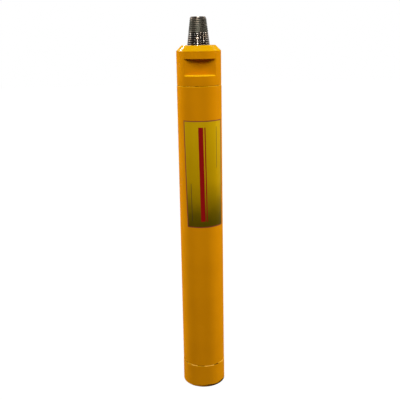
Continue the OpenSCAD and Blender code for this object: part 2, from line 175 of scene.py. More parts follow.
def band_faces(rows, columns, close_rows=True, close_columns=True):
    """Quads of a grid of points, joined round at the ends where it is closed."""
    at = np.arange(rows * columns).reshape(rows, columns)
    right, up = np.roll(at, -1, axis=1), np.roll(at, -1, axis=0)
    quads = np.stack([at, right, np.roll(up, -1, axis=1), up], axis=-1)
    quads = quads[: rows if close_rows else rows - 1, : columns if close_columns else columns - 1]
    return quads.reshape(-1, 4)


def volume(points, faces):
    """Signed volume of a closed mesh of quads: the sum of the tetrahedra from the origin to its triangles,
    two to each quad."""
    a, b, c, d = (points[faces[:, i]] for i in range(4))
    tets = np.einsum("ij,ij->i", a, np.cross(b, c)) + np.einsum("ij,ij->i", a, np.cross(c, d))
    return tets.sum() / 6


def piece(name, points, faces, material, body, slot, replaces=(), crease=35):
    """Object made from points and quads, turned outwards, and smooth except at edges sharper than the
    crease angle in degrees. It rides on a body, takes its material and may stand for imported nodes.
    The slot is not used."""
    points = np.asarray(points, float).reshape(-1, 3)
    faces = np.asarray(faces)
    if volume(points, faces) < 0:
        faces = faces[:, ::-1]
    mesh = bpy.data.meshes.new(name)
    mesh.from_pydata(points, [], faces)
    mesh.polygons.foreach_set("use_smooth", np.ones(len(faces), bool))
    mesh.set_sharp_from_angle(angle=math.radians(crease))
    mesh.materials.append(material)
    mesh.update()
    made = bpy.data.objects.new(name, mesh)
    bpy.context.scene.collection.objects.link(made)
    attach(made, body)
    if replaces:
        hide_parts(*replaces)
    return made


def closed_piece(name, grid, *looks, **settings):
    """Piece from a grid of points that is joined up both ways: round each ring, and the last ring to the
    first."""
    return piece(name, grid, band_faces(*grid.shape[:2]), *looks, **settings)


def write_layer(made, name, values):
    """Named value on each point of a piece, for its material to read."""
    layer = made.data.attributes.new(name, "FLOAT", "POINT")
    layer.data.foreach_set("value", np.asarray(values, np.float32).ravel())


# Shader nodes and finishes

def add(tree, kind, inputs=(), **settings):
    """One node with its settings, and its inputs set to values or linked to other nodes' outputs."""
    made = tree.nodes.new(kind)
    for key, value in settings.items():
        setattr(made, key, value)
    for key, value in dict(inputs).items():
        if isinstance(value, bpy.types.NodeSocket):
            tree.links.new(value, made.inputs[key])
        else:
            made.inputs[key].default_value = value
    return made


def maths(tree, operation, *values, clamp=False):
    """Output of a Math node."""
    return add(tree, "ShaderNodeMath", enumerate(values), operation=operation, use_clamp=clamp).outputs[0]


def blend_colour(tree, share, low, high):
    """Output of a node that mixes two colours."""
    made = tree.nodes.new("ShaderNodeMix")
    made.data_type = "RGBA"
    for socket, value in ((made.inputs[0], share), (made.inputs[6], low), (made.inputs[7], high)):
        if isinstance(value, bpy.types.NodeSocket):
            tree.links.new(value, socket)
        else:
            socket.default_value = value if isinstance(value, (int, float)) else (*value, 1)
    return made.outputs[2]


def ramp(tree, value, low, high, to_low=0.0, to_high=1.0):
    """Value mapped smoothly from one range to another and held at the ends."""
    inputs = {"Value": value, "From Min": low, "From Max": high, "To Min": to_low, "To Max": to_high}
    return add(tree, "ShaderNodeMapRange", inputs, interpolation_type="SMOOTHSTEP").outputs[0]


def new_group(name, inputs, outputs):
    """Empty node group with named value inputs and outputs, and its two end nodes."""
    group = bpy.data.node_groups.new(name, "ShaderNodeTree")
    for label, value in inputs.items():
        socket = group.interface.new_socket(label, in_out="INPUT", socket_type="NodeSocketFloat")
        socket.default_value = value
    for label in outputs:
        group.interface.new_socket(label, in_out="OUTPUT", socket_type="NodeSocketFloat")
    return group, group.nodes.new("NodeGroupInput").outputs, group.nodes.new("NodeGroupOutput").inputs


def use_group(tree, group, **values):
    """Group placed in a material with its own values: underscores in a name stand for spaces."""
    made = tree.nodes.new("ShaderNodeGroup")
    made.node_tree = group
    for key, value in values.items():
        made.inputs[key.replace("_", " ")].default_value = value
    return made.outputs


def object_place(tree):
    """Point on the piece, in metres, as a vector and as its height."""
    place = add(tree, "ShaderNodeTexCoord").outputs["Object"]
    return place, add(tree, "ShaderNodeSeparateXYZ", {0: place}).outputs["Z"]


def noise(tree, place, scale, detail):
    """Value of a noise with features of about one over scale metres."""
    return add(tree, "ShaderNodeTexNoise", {"Vector": place, "Scale": scale, "Detail": detail}).outputs[0]


def seeded_noise(tree, place, seed, **settings):
    """Value of a noise that changes with a seed as well as with the place."""
    inputs = {"Vector": place, "W": seed, **settings}
    return add(tree, "ShaderNodeTexNoise", inputs, noise_dimensions="4D").outputs[0]


def make_film_group():
    """Uneven film of paint or oil: a broad tone, a fine tone and a fine height, each from its own noise."""
    inputs = {"Broad Scale": 14.0, "Fine Scale": 160.0}
    group, ins, outs = new_group("uneven_film", inputs, ("Tone", "Fine", "Height"))
    dark_end, pale_end = 0.3, 0.7
    place, _ = object_place(group)
    broad = noise(group, place, ins["Broad Scale"], detail=3.0)
    fine = noise(group, place, ins["Fine Scale"], detail=4.0)
    group.links.new(ramp(group, broad, dark_end, pale_end), outs["Tone"])
    group.links.new(ramp(group, fine, dark_end, pale_end), outs["Fine"])
    group.links.new(fine, outs["Height"])
    return group


def make_edge_mark_group():
    """Mask along a turned edge, for paint flaked off, grime, painted shade and painted highlight: a share
    that falls with the distance in height from the edge, broken up by a fine noise, and a broad noise that
    leaves whole stretches of the edge untouched."""
    inputs = {"Edge Height": 0.0, "Reach": 3 * MM, "Amount": 0.5, "Gaps": 0.0, "Seed": 0.0}
    group, ins, outs = new_group("edge_chips", inputs, ("Mask",))
    bare_stretch, chipped_stretch = 0.46, 0.54
    chip_start, chip_full = 0.3, 0.36
    place, height = object_place(group)
    off = maths(group, "ABSOLUTE", maths(group, "SUBTRACT", height, ins["Edge Height"]))
    near = maths(group, "SUBTRACT", 1.0, maths(group, "DIVIDE", off, ins["Reach"]), clamp=True)
    broken = seeded_noise(group, place, ins["Seed"], Scale=70.0, Detail=4.0, Roughness=0.65)
    stretch = seeded_noise(group, place, ins["Seed"], Scale=38.0, Detail=1.0)
    spared = ramp(group, stretch, bare_stretch, chipped_stretch, to_low=1.0, to_high=0.0)
    missing = maths(group, "MULTIPLY", spared, ins["Gaps"])
    wanted = maths(group, "MULTIPLY", near, ins["Amount"])
    level = maths(group, "ADD", wanted, maths(group, "SUBTRACT", broken, 0.5))
    level = maths(group, "SUBTRACT", level, missing)
    group.links.new(ramp(group, level, chip_start, chip_full), outs["Mask"])
    return group


def make_turning_group():
    """Marks of turning: rings along the axis, from noise that is squeezed in height and drawn out round the
    piece."""
    group, ins, outs = new_group("turning_marks", {"Ring Scale": 1400.0}, ("Tone", "Height"))
    drift_scale = 9.0
    dark_end, pale_end = 0.25, 0.75
    place, height = object_place(group)
    squeezed = maths(group, "MULTIPLY", height, ins["Ring Scale"])
    rings = add(group, "ShaderNodeCombineXYZ", {"Z": squeezed}).outputs[0]
    drawn_out = {0: place, "Scale": drift_scale}
    drift = add(group, "ShaderNodeVectorMath", drawn_out, operation="SCALE").outputs[0]
    both = add(group, "ShaderNodeVectorMath", {0: rings, 1: drift}, operation="ADD").outputs[0]
    lines = noise(group, both, scale=1.0, detail=2.0)
    group.links.new(ramp(group, lines, dark_end, pale_end), outs["Tone"])
    group.links.new(lines, outs["Height"])
    return group


film = make_film_group()
edge_marks = make_edge_mark_group()
turning = make_turning_group()


def new_material(name, **values):
    """Material with a Principled shader whose own sockets take the constant values: gives the material, its
    node tree and the shader."""
    material = bpy.data.materials.new(name)
    material.use_nodes = True
    shader = material.node_tree.nodes["Principled BSDF"]
    for key, value in values.items():
        shader.inputs[key.replace("_", " ")].default_value = value
    return material, material.node_tree, shader


def bump(tree, shader, height, strength, depth):
    """Relief from a height, on the shader's normal."""
    inputs = {"Height": height, "Strength": strength, "Distance": depth}
    tree.links.new(add(tree, "ShaderNodeBump", inputs).outputs[0], shader.inputs["Normal"])


# Colours of the finishes
ENAMEL_DEEP = (0.675, 0.245, 0.0004)
ENAMEL_FRESH = (0.72, 0.266, 0.0006)
# paler, yellower enamel painted on surfaces that face up, as painted light from above
ENAMEL_TOP_LIGHT = (0.60, 0.30, 0.0006)
JOINT_GRIME = (0.22, 0.075, 0.002)
# painted shade for the lower edge of the chuck
FOOT_PAINTED_SHADE = (0.05, 0.016, 0.001)
# pale marks where paint has flaked off; on the joint chamfers they also serve as a painted highlight
PALE_FLAKE_AND_HIGHLIGHT = (0.92, 0.52, 0.07)
# painted highlight: paler, yellower paint on the lower ledge's chamfer, which faces up into the light
ENAMEL_LEDGE_HIGHLIGHT = (0.90, 0.47, 0.004)
BORE_DARK = (0.13, 0.125, 0.12)
BORE_LIGHT = (0.34, 0.335, 0.325)
CREST_BROWN = (0.56, 0.41, 0.28)
CREST_BRIGHT = (0.62, 0.57, 0.51)
TOOL_MARK = (0.25, 0.23, 0.20)
# painted shade, together with oil, in the roots of the thread
ROOT_PAINTED_SHADE = (0.022, 0.018, 0.014)
GREASE = (0.115, 0.11, 0.083)


def own_layer(tree, name):
    """Value of the piece's own named attribute, which is 0 where it has none."""
    return add(tree, "ShaderNodeAttribute", attribute_name=name).outputs["Fac"]


def make_enamel(name, edges):
    """Gloss yellow enamel sprayed over turned steel: broad tone changes, a paler, yellower colour painted
    where the surface faces up as painted light from above, faint turning marks under the paint and a fine
    orange-peel relief. The piece's own attributes say where a painted highlight lies on a chamfer that faces
    the light, where painted shade lies along the lower end and where the paint stops in a ragged line at the
    oily turned steel of the bores (bare). Along each edge lie a dark line, grime at the joints and painted
    shade at the foot, and a line of pale marks where paint has flaked off, which on the joint chamfers also
    stand in for a painted highlight."""
    material, tree, shader = new_material(
        name, Specular_IOR_Level=0.0, Coat_Weight=0.02, Coat_IOR=1.8, Coat_Roughness=0.15
    )
    top_light_start, top_light_full = 0.25, 0.7
    ragged_width, paint_end, steel_start = 0.5, 0.45, 0.55
    ring_share = 0.5
    uneven = use_group(tree, film, Broad_Scale=11.0, Fine_Scale=260.0)
    rings = use_group(tree, turning, Ring_Scale=900.0)
    colour = blend_colour(tree, uneven["Tone"], ENAMEL_DEEP, ENAMEL_FRESH)
    # painted light: surfaces that face up are painted paler and yellower, as if lit from above
    normal = add(tree, "ShaderNodeNewGeometry").outputs["Normal"]
    facing_up = add(tree, "ShaderNodeSeparateXYZ", {0: normal}).outputs["Z"]
    colour = blend_colour(tree, ramp(tree, facing_up, top_light_start, top_light_full), colour, ENAMEL_TOP_LIGHT)
    # painted highlight on the lower ledge's lit chamfer, in patches
    patchy = ramp(tree, uneven["Fine"], 0.0, 1.0, to_low=0.6, to_high=1.0)
    ledge_lit = maths(tree, "MULTIPLY", own_layer(tree, "worn"), patchy)
    colour = blend_colour(tree, ledge_lit, colour, ENAMEL_LEDGE_HIGHLIGHT)
    for height, reach, grime_and_shade, grime_and_shade_mark, flakes_and_highlight in edges:
        for tint, (amount, gaps, seed) in ((grime_and_shade, grime_and_shade_mark), (PALE_FLAKE_AND_HIGHLIGHT, flakes_and_highlight)):
            sizes = {"Edge_Height": height, "Reach": reach, "Amount": amount, "Gaps": gaps, "Seed": seed}
            colour = blend_colour(tree, use_group(tree, edge_marks, **sizes)["Mask"], colour, tint)
    # painted shade: the lower edge is darkened, most on the right side, away from the light
    foot = use_group(tree, edge_marks, Edge_Height=0.0, Reach=11 * MM, Amount=1.0, Seed=8.3)
    foot_shade_share = maths(tree, "MULTIPLY", own_layer(tree, "lain"), foot["Mask"])
    colour = blend_colour(tree, foot_shade_share, colour, FOOT_PAINTED_SHADE)
    ragged = maths(tree, "MULTIPLY", maths(tree, "SUBTRACT", uneven["Fine"], 0.5), ragged_width)
    bare = ramp(tree, maths(tree, "ADD", own_layer(tree, "bare"), ragged), paint_end, steel_start)
    bore = blend_colour(tree, rings["Tone"], BORE_DARK, BORE_LIGHT)
    tree.links.new(blend_colour(tree, bare, colour, bore), shader.inputs["Base Color"])
    tree.links.new(bare, shader.inputs["Metallic"])
    gloss = ramp(tree, uneven["Fine"], 0.0, 1.0, to_low=0.3, to_high=0.4)
    tree.links.new(gloss, shader.inputs["Roughness"])
    relief = maths(tree, "ADD", maths(tree, "MULTIPLY", rings["Height"], ring_share), uneven["Height"])
    bump(tree, shader, relief, strength=0.03, depth=0.03 * MM)
    return material


def make_steel(name, dark, light, rough_low, rough_high, ring_scale, depth):
    """Bare turned steel: two greys in rings and patches of oil, rougher where it is darker."""
    material, tree, shader = new_material(name, Metallic=1.0)
    uneven = use_group(tree, film, Broad_Scale=45.0, Fine_Scale=420.0)
    rings = use_group(tree, turning, Ring_Scale=ring_scale)
    ring_share, oil_share = 0.6, 0.4
    ringed = maths(tree, "MULTIPLY", rings["Tone"], ring_share)
    share = maths(tree, "ADD", ringed, maths(tree, "MULTIPLY", uneven["Tone"], oil_share))
    tree.links.new(blend_colour(tree, share, dark, light), shader.inputs["Base Color"])
    tree.links.new(ramp(tree, uneven["Tone"], 0.0, 1.0, rough_high, rough_low), shader.inputs["Roughness"])
    bump(tree, shader, rings["Height"], strength=0.3, depth=depth)
    return material


def make_thread_steel(name):
    """Bare cut thread: crests painted bright as a painted highlight and roots painted dark as painted shade
    and oil, by the piece's own crest attribute, a brown film in patches, fine marks of the thread tool, and a
    dull film of grease by its own greased attribute."""
    material, tree, shader = new_material(name, Metallic=1.0)
    mark_share, root_end, crest_start, grease_rough = 0.3, 0.55, 0.9, 0.5
    crest = own_layer(tree, "crest")
    uneven = use_group(tree, film, Broad_Scale=60.0, Fine_Scale=420.0)
    rings = use_group(tree, turning, Ring_Scale=2600.0)
    bright = blend_colour(tree, uneven["Tone"], CREST_BROWN, CREST_BRIGHT)
    bright = blend_colour(tree, maths(tree, "MULTIPLY", rings["Tone"], mark_share), bright, TOOL_MARK)
    steel = blend_colour(tree, ramp(tree, crest, root_end, crest_start), ROOT_PAINTED_SHADE, bright)
    patches = ramp(tree, uneven["Tone"], 0.0, 1.0, to_low=0.6, to_high=1.0)
    greased = maths(tree, "MULTIPLY", own_layer(tree, "greased"), patches)
    tree.links.new(blend_colour(tree, greased, steel, GREASE), shader.inputs["Base Color"])
    polish = ramp(tree, crest, 0.0, 1.0, to_low=0.45, to_high=0.15)
    dull = maths(tree, "MULTIPLY", greased, maths(tree, "SUBTRACT", grease_rough, polish))
    tree.links.new(maths(tree, "ADD", polish, dull), shader.inputs["Roughness"])
    bump(tree, shader, rings["Height"], strength=0.05, depth=0.02 * MM)
    return material


def make_soft(name, dark, light, rough_low, rough_high):
    """Rubber or plastic: two near tones in a fine grain, with a little relief."""
    material, tree, shader = new_material(name, Specular_IOR_Level=0.35)
    uneven = use_group(tree, film, Broad_Scale=60.0, Fine_Scale=700.0)
    tree.links.new(blend_colour(tree, uneven["Fine"], dark, light), shader.inputs["Base Color"])
    tree.links.new(ramp(tree, uneven["Tone"], 0.0, 1.0, rough_low, rough_high), shader.inputs["Roughness"])
    bump(tree, shader, uneven["Height"], strength=0.2, depth=0.05 * MM)
    return material


# Each edge of a paint: height, reach, colour of its dark line, then amount, gaps and seed of the dark line
# and of the pale marks. The dark line is grime at the joints and painted shade at the foot; the pale marks
# are paint flaked off, and along the joints they also stand in for a painted highlight on the lit chamfers
case_enamel = make_enamel("case_enamel", [
    (lower_joint, 3.0 * MM, JOINT_GRIME, (0.36, 0.0, 31.0), (0.5, 0.3, 23.7)),
    (upper_joint, 1.6 * MM, JOINT_GRIME, (0.38, 0.0, 24.9), (0.5, 0.3, 17.6)),
])
chuck_enamel = make_enamel("chuck_enamel", [
    (lower_joint, 3.0 * MM, JOINT_GRIME, (0.38, 0.0, 31.0), (0.5, 0.3, 23.7)),
    # painted shade: a dark line all round the lower edge, which lies in shade
    (0.0, 2.5 * MM, FOOT_PAINTED_SHADE, (1.0, 0.3, 8.3), (0.0, 0.0, 0.0)),
])
backhead_enamel = make_enamel("backhead_enamel", [
    (upper_joint, 3.0 * MM, JOINT_GRIME, (0.72, 0.6, 23.9), (0.1, 0.0, 0.0)),
    (shoulder - 0.6 * MM, 0.9 * MM, JOINT_GRIME, (0.3, 0.0, 8.3), (0.4, 0.3, 1.0)),
])
pin_steel = make_thread_steel("pin_steel")
# Each metal: dark and light tone, lowest and highest roughness, scale and depth of its turning marks
ground_steel = make_steel(
    "ground_steel", (0.38, 0.38, 0.385), (0.56, 0.56, 0.565), 0.16, 0.3, 1800.0, 0.01 * MM
)
piston_steel = make_steel(
    "piston_steel", (0.44, 0.44, 0.45), (0.62, 0.62, 0.63), 0.12, 0.26, 2400.0, 0.01 * MM
)
ring_steel = make_steel(
    "ring_steel", (0.10, 0.10, 0.105), (0.24, 0.24, 0.245), 0.3, 0.5, 1300.0, 0.015 * MM
)
spring_steel = make_steel(
    "spring_steel", (0.30, 0.29, 0.27), (0.5, 0.49, 0.47), 0.2, 0.35, 1600.0, 0.01 * MM
)
choke_brass = make_steel(
    "choke_brass", (0.55, 0.36, 0.12), (0.78, 0.56, 0.24), 0.16, 0.3, 1900.0, 0.01 * MM
)
# Each soft finish: dark and light tone, lowest and highest roughness
seal_rubber = make_soft("seal_rubber", (0.012, 0.012, 0.012), (0.026, 0.026, 0.026), 0.5, 0.7)
buffer_rubber = make_soft("buffer_rubber", (0.20, 0.03, 0.02), (0.30, 0.05, 0.03), 0.45, 0.6)
valve_acetal = make_soft("valve_acetal", (0.03, 0.03, 0.033), (0.055, 0.055, 0.06), 0.3, 0.42)


# Outer pieces

def make_case():
    """Piston case: a tube turned from one outline, with a chamfer at either joint and a stepped bore."""
    lower_thread = chuck_top - pilot_h
    upper_thread = spigot_low + pilot_h
    step = thread_bore_r - seat_r
    corners = [
        (thread_bore_r, lower_joint), (case_r - joint_chamfer, lower_joint),
        (case_r, lower_joint + joint_chamfer), (case_r, upper_joint - joint_chamfer),
        (case_r - joint_chamfer, upper_joint), (thread_bore_r, upper_joint),
        (thread_bore_r, upper_thread + step), (seat_r, upper_thread),
        (seat_r, cylinder_low), (bore_r, cylinder_low),
        (bore_r, bush_top), (seat_r, bush_top),
        (seat_r, lower_thread), (thread_bore_r, lower_thread - step),
    ]
    radii = [sharp_edge] + [soft_edge] * 4 + [sharp_edge] * 9
    grid = lathe(rounded_outline(corners, radii), angles(256))
    made = closed_piece("case_tube", grid, case_enamel, "hammer", "case_paint", ["piston_case"])
    write_layer(made, "bare", from_axis(grid) < thread_bore_r + soft_edge)
    return made


def spline_section():
    """Radius and angle of the splined bore, one groove after another. A groove has a round floor at the root
    radius and two parallel flanks, so its half angle is asin(half its width / radius); the rest is the
    spline's tip. A small step in from each corner breaks the edge there."""
    half = spline_groove / 2
    pitch = TURN / spline_count
    round_r = 0.6 * MM
    floor_points, tip_points = 7, 8
    floor_end = math.asin(half / spline_root_r) - round_r / spline_root_r
    tip_start = math.asin(half / spline_tip_r) + round_r / spline_tip_r
    floor_t = np.linspace(-floor_end, floor_end, floor_points)
    flank_r = np.array([spline_root_r - round_r, spline_tip_r + round_r])
    flank_t = np.arcsin(half / flank_r)
    tip_t = np.linspace(tip_start, pitch - tip_start, tip_points)
    floor_r, tip_r = np.full(floor_points, spline_root_r), np.full(tip_points, spline_tip_r)
    r = np.concatenate([floor_r, flank_r, tip_r, flank_r[::-1]])
    t = np.concatenate([floor_t, flank_t, tip_t, pitch - flank_t[::-1]])
    turns = np.arange(spline_count)[:, None] * pitch
    return np.tile(r, spline_count), (turns + t).ravel()


def make_chuck():
    """Drive chuck: rings of points from the mouth round the outside to the top, and down again along the
    splines. Every ring has the angles of the spline section, so that the round rings and the splined ones
    join point to point."""
    section_r, theta = spline_section()
    thread_low, pilot_low = lower_joint + relief_h, chuck_top - pilot_h
    lead_in = 1 * MM
    mouth_chamfer, mouth_step = 1 * MM, 3 * MM
    mouth_fillet, mouth_edge = 0.5 * MM, 0.3 * MM
    close_r = spline_root_r + lead_in
    corners = [
        (mouth_r - mouth_step, mouth_h), (mouth_r, mouth_h),
        (mouth_r, mouth_chamfer), (mouth_r + mouth_chamfer, 0),
        (chuck_r - chuck_edge, 0), (chuck_r, chuck_edge),
        (chuck_r, lower_joint - joint_chamfer), (chuck_r - joint_chamfer, lower_joint),
        (relief_r, lower_joint), (relief_r, thread_low),
        (spigot_r, thread_low + spigot_r - relief_r), (spigot_r, pilot_low - spigot_r + pilot_r),
        (pilot_r, pilot_low), (pilot_r, chuck_top),
        (close_r, chuck_top), (close_r, mouth_h + lead_in),
    ]
    radii = [sharp_edge, mouth_fillet] + [mouth_edge] * 2 + [soft_edge] * 4 + [sharp_edge] * 8
    outline = rounded_outline(corners, radii)
    # the two last corners and the first only close the outline: the splines take their place
    hair, step_start = 0.01 * MM, 0.8 * MM
    r, z = outline[:, 0], outline[:, 1]
    on_wall = (r < mouth_r - step_start) & (z > mouth_h / 2) & (z < chuck_top - lead_in)
    outside = lathe(outline[~on_wall & (r >= close_r - hair)], theta)
    heights = np.concatenate([
        chuck_top - lead_in * np.array([0, 1, 3]),
        mouth_h + lead_in * np.array([3, 1, 0]),
    ])
    widen = lead_in * np.array([1, 0, 0, 0, 0, 0.5])
    r = np.minimum(section_r[None, :] + widen[:, None], spline_root_r + lead_in / 2)
    splines = np.stack([r * np.cos(theta), r * np.sin(theta), heights[:, None] + 0 * r], axis=-1)
    grid = np.concatenate([outside, splines])
    made = closed_piece("chuck_body", grid, chuck_enamel, "hammer", "chuck_paint", ["drive_chuck"])
    # the paint reaches a little way into the mouth, and not past the joint
    paint_low, paint_high = 2 * MM, 8 * MM
    z = grid[..., 2]
    up_mouth = np.clip((z - paint_low) / (paint_high - paint_low), 0, 1)
    mouth = np.where(from_axis(grid) < mouth_r + soft_edge, up_mouth, 0)
    write_layer(made, "bare", np.maximum(mouth, z > lower_joint + sharp_edge))
    # painted shade along the lower edge on the right side, the side away from the light
    shade_azimuths, shade_shares = [-35, 15, 130, 160], [0, 1, 1, 0]
    azimuth = np.degrees(np.arctan2(grid[..., 0], -grid[..., 1]))
    write_layer(made, "lain", np.interp(azimuth, shade_azimuths, shade_shares))
    return made


def ledge_rings(depth, chamfer):
    """Rings of points across the ledge at an end of the flats: how far each lies inside the round outside,
    and its height from the ledge towards the flat. Up to the ledge a ring goes in at 45 degrees from the
    chamfer's start, but never further than the flat; then a quarter round of the cutter leads from the ledge
    up to the flat."""
    support, cutter_r, ring_gap = 0.5 * MM, 1.0 * MM, 0.05 * MM
    cutter_share, cutter_rings = 0.4, 5
    rise = np.array([-support, 0, 0.25 * chamfer, 0.75 * chamfer, chamfer])[:, None]
    chamfer_in = np.minimum(np.maximum(rise, 0), depth)
    chamfer_z = rise - chamfer + 0 * depth
    quarter = np.linspace(0, math.pi / 2, cutter_rings)[:, None]
    root = np.minimum(cutter_r, cutter_share * np.maximum(depth - chamfer, 0))
    root_in = depth - root * (1 - np.sin(quarter))
    # each ring lies a little above the last, also where the ledge has no depth
    root_z = root * (1 - np.cos(quarter)) + np.arange(1, cutter_rings + 1)[:, None] * ring_gap
    return np.concatenate([chamfer_in, root_in]), np.concatenate([chamfer_z, root_z])


def make_backhead_body():
    """Backhead below its shoulder. The outside is turned; at the wrench flats each ring of points is pressed
    in to the planes y = +-half the width across flats, with a chamfered ledge below and above."""
    flat_low, flat_high = flat_middle - flat_h / 2, flat_middle + flat_h / 2
    cone_low = shoulder - cone_h
    thread_low, thread_high = spigot_low + pilot_h, upper_joint - relief_h
    socket_low, socket_r = shoulder - 4 * MM, pin_base_r - 1 * MM
    shoulder_edge, cone_edge = 0.5 * MM, 0.8 * MM
    # grid lines run along the edges of the flats and of their chamfers, at the back and at the front
    chamfers = np.array([0, upper_ledge_chamfer, lower_ledge_chamfer])
    edges = np.arccos(flat_half / (backhead_r - chamfers))
    edges = np.concatenate([-edges, edges])
    theta = angles(288, np.concatenate([math.pi / 2 + edges, -math.pi / 2 + edges]))
    corners = [
        (backhead_r, upper_joint + joint_chamfer), (backhead_r - joint_chamfer, upper_joint),
        (relief_r, upper_joint), (relief_r, thread_high), (spigot_r, thread_high - spigot_r + relief_r),
        (spigot_r, thread_low + spigot_r - pilot_r), (pilot_r, thread_low), (pilot_r, spigot_low),
        (chamber_r, spigot_low), (chamber_r, seat_z - seat_out_r), (seat_out_r, seat_z - seat_out_r),
        (inlet_r, seat_z - inlet_r), (inlet_r, socket_low), (socket_r, socket_low),
        (socket_r, shoulder), (shoulder_r, shoulder), (backhead_r, cone_low),
    ]
    outline = rounded_outline(corners, [soft_edge] * 2 + [sharp_edge] * 13 + [shoulder_edge, cone_edge])
    # the last point lies at the lower end of the side that the flats are cut into: their rings lead up to it
    body = lathe(outline[:-1], theta)
    # depth of the flat below the round outside, at each angle
    along = np.maximum(np.abs(np.sin(theta)), 1e-6)
    depth = np.maximum(0, backhead_r - flat_half / along)
    low_in, low_z = ledge_rings(depth, lower_ledge_chamfer)
    high_in, high_z = ledge_rings(depth, upper_ledge_chamfer)
    wall_start, wall_end, wall_rings = 0.12, 0.88, 7
    spread = np.linspace(wall_start, wall_end, wall_rings)[:, None]
    wall_in = depth + 0 * spread
    wall_z = flat_low + spread * flat_h + 0 * depth
    r = backhead_r - np.concatenate([low_in, wall_in, high_in[::-1]])
    z = np.concatenate([flat_low + low_z, wall_z, flat_high - high_z[::-1]])
    flats = np.stack([r * np.cos(theta), r * np.sin(theta), z], axis=-1)
    grid = np.concatenate([body, flats[::-1]])
    made = closed_piece("backhead_body", grid, backhead_enamel, "hammer", "backhead_paint", ["backhead"])
    # painted highlight: the lower ledge's chamfer, which faces up into the light, gets paler, yellower
    #     paint, as far as there is a ledge
    chamfer_rings = slice(1, 6)
    worn = np.zeros_like(r)
    worn[chamfer_rings] = np.clip(depth / lower_ledge_chamfer, 0, 1)
    write_layer(made, "worn", np.concatenate([np.zeros(body.shape[:2]), worn[::-1]]))
    # the paint stops at the joint below and at the air inlet inside
    below_joint = grid[..., 2] < upper_joint - sharp_edge
    write_layer(made, "bare", below_joint | (from_axis(grid) < inlet_r + soft_edge))
    return made


def thread_height(theta, z):
    """Height of the pin's thread above its root, from 0 to 1. The distance from the crest of a right-hand
    helix, as a share of half a pitch, gives a flat crest, two straight flanks and a narrow root."""
    crest_share, root_share = 0.2, 0.14
    phase = np.mod((z - shoulder) / thread_pitch - theta / TURN, 1)
    away = np.abs(phase - 0.5) * 2
    return np.clip((1 - root_share - away) / (1 - root_share - crest_share), 0, 1)


def make_pin():
    """Tapered pin: its radius is the root cone plus the thread, held below a plain nose at the top and cut by
    a relief groove at the shoulder; the inside is the air inlet with a rounded mouth."""
    theta = angles(176)
    rows_per_pitch, rim = 16, 1.5 * MM
    low, high = shoulder, pin_top - rim
    z = np.linspace(low, high, int((high - low) / thread_pitch * rows_per_pitch))[:, None]
    crest = pin_base_r - (z - shoulder) * pin_taper
    r = crest - thread_depth * (1 - thread_height(theta, z))
    # the nose, the relief groove and the bevel of the nose each hold the radius down, and run out at a slope
    run_out, bevel_slope, nose_depth = 1.2, 0.8, 1.7 * MM
    nose_low, bevel_low = pin_top - pin_nose_h, pin_top - 4 * MM
    relief_top, relief_depth = shoulder + 3.2 * MM, 0.75 * thread_depth
    nose_limit = crest - nose_depth + np.maximum(0, nose_low - z) * run_out
    relief_limit = crest - relief_depth + np.maximum(0, z - relief_top) * run_out
    bevel_limit = crest - nose_depth - np.maximum(0, z - bevel_low) * bevel_slope
    r = np.minimum(np.minimum(r, nose_limit), np.minimum(relief_limit, bevel_limit))
    outer = np.stack([r * np.cos(theta), r * np.sin(theta), z + 0 * r], axis=-1)
    # over the rim in two quarter rounds, down the inlet, and out again inside the body's socket
    first_angle, rim_points, rim_middle_r = 0.15, 6, inlet_r + 1.4 * rim
    foot_z, foot_in_r, foot_out_r = shoulder - 3 * MM, pin_base_r - 2 * MM, pin_base_r - 1.2 * MM
    quarter = np.linspace(first_angle, math.pi / 2, rim_points)
    out_r, out_z = r[-1].mean() - rim * (1 - np.cos(quarter)), pin_top - rim * (1 - np.sin(quarter))
    in_r, in_z = inlet_r + rim * (1 - np.sin(quarter[:-1])), pin_top - rim * (1 - np.cos(quarter[:-1]))
    over_r = np.concatenate([out_r, [rim_middle_r], in_r])
    over_z = np.concatenate([out_z, [pin_top], in_z])
    down_r = np.array([inlet_r, inlet_r, inlet_r, foot_in_r, foot_out_r])
    down_z = np.array([pin_top - 3 * rim, shoulder + 10 * MM, foot_z, foot_z, foot_z])
    cap = np.stack([np.concatenate([over_r, down_r]), np.concatenate([over_z, down_z])], axis=1)
    grid = np.concatenate([outer, lathe(cap, theta)])
    made = closed_piece("backhead_pin", grid, pin_steel, "hammer", "backhead_paint", crease=50)
    # painted light and shade on the steel: bright on the crests, the nose and the rim as painted highlight,
    #     dark in the roots as painted shade and oil, and dark inside as painted shade
    nose_shine, bevel_shine, rim_shine, inside_shine = 0.8, 0.62, 0.9, 0.35
    nose_share = np.clip((z - nose_low) / thread_pitch * 2, 0, 1)
    plain = np.where(z > bevel_low, bevel_shine, nose_shine)
    shine = thread_height(theta, z) * (1 - nose_share) + plain * nose_share
    rim_rows = np.full((len(over_r), len(theta)), rim_shine)
    inside_rows = np.full((len(down_r), len(theta)), inside_shine)
    write_layer(made, "crest", np.concatenate([shine, rim_rows, inside_rows]))
    # grease is left on the upper half of the thread, up to the nose
    grease_low, grease_rise = shoulder + 33 * MM, 4 * MM
    greased = np.clip((z - grease_low) / grease_rise, 0, 1) * (1 - nose_share) + 0 * shine
    write_layer(made, "greased", np.concatenate([greased, 0 * rim_rows, 0 * inside_rows]))
    return made


make_case()
make_chuck()
backhead_body = make_backhead_body()
backhead_pin = make_pin()


# Foil label

# Heights of the label's ends, and azimuths of its sides in degrees
LABEL_LOW, LABEL_HIGH = 508 * MM, 814 * MM
LABEL_LEFT_TOP, LABEL_LEFT_BOTTOM = -49.6, -43.2
LABEL_RIGHT_TOP, LABEL_RIGHT_BOTTOM = 64.5, 64.5
